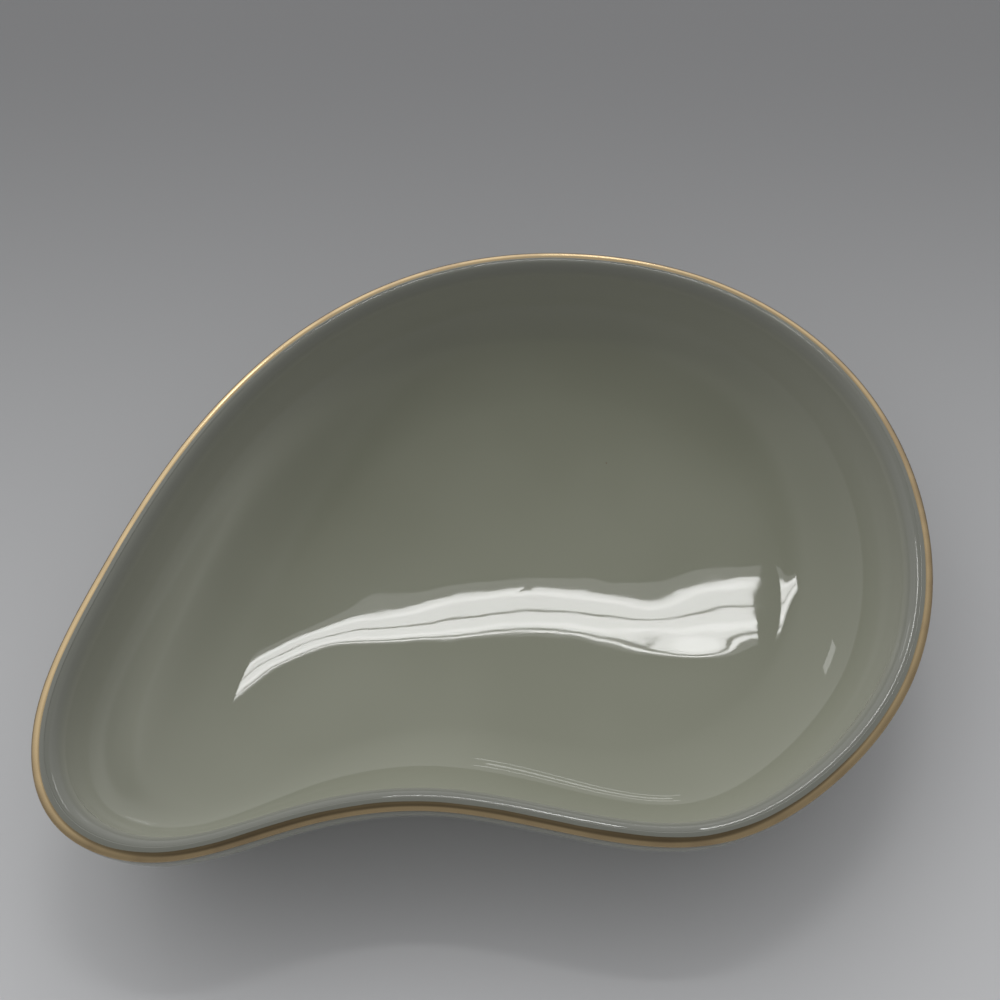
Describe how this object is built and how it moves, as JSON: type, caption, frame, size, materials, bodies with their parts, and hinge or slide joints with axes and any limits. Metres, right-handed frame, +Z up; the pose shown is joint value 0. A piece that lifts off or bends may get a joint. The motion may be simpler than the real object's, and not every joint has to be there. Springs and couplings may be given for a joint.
{
  "type": "ring dish",
  "caption": "Shallow teardrop dish of ivory glazed porcelain with a gilded rim and a low foot ring, for rings and small things.",
  "frame": {"origin": "middle of the dish's box, on the ground that the foot ring stands on", "axes": "+X along the length, towards the round lobe; +Y from the front, with its hollow waist, to the back; +Z up out of the bowl"},
  "size_m": [0.1398, 0.1122, 0.0241],
  "materials": {
    "bisque": "unglazed, fine and matt",
    "inside_glaze": "glossy ivory glaze",
    "outside_glaze": "glossy ivory glaze",
    "base_glaze": "glossy ivory glaze",
    "gold": "polished gold lustre"
  },
  "bodies": {
    "root": {"porcelain_body": "bisque", "liner_glaze": "inside_glaze", "outer_glaze": "outside_glaze", "base_glaze": "base_glaze", "rim_gilding": "gold"}
  },
  "joints": []
}
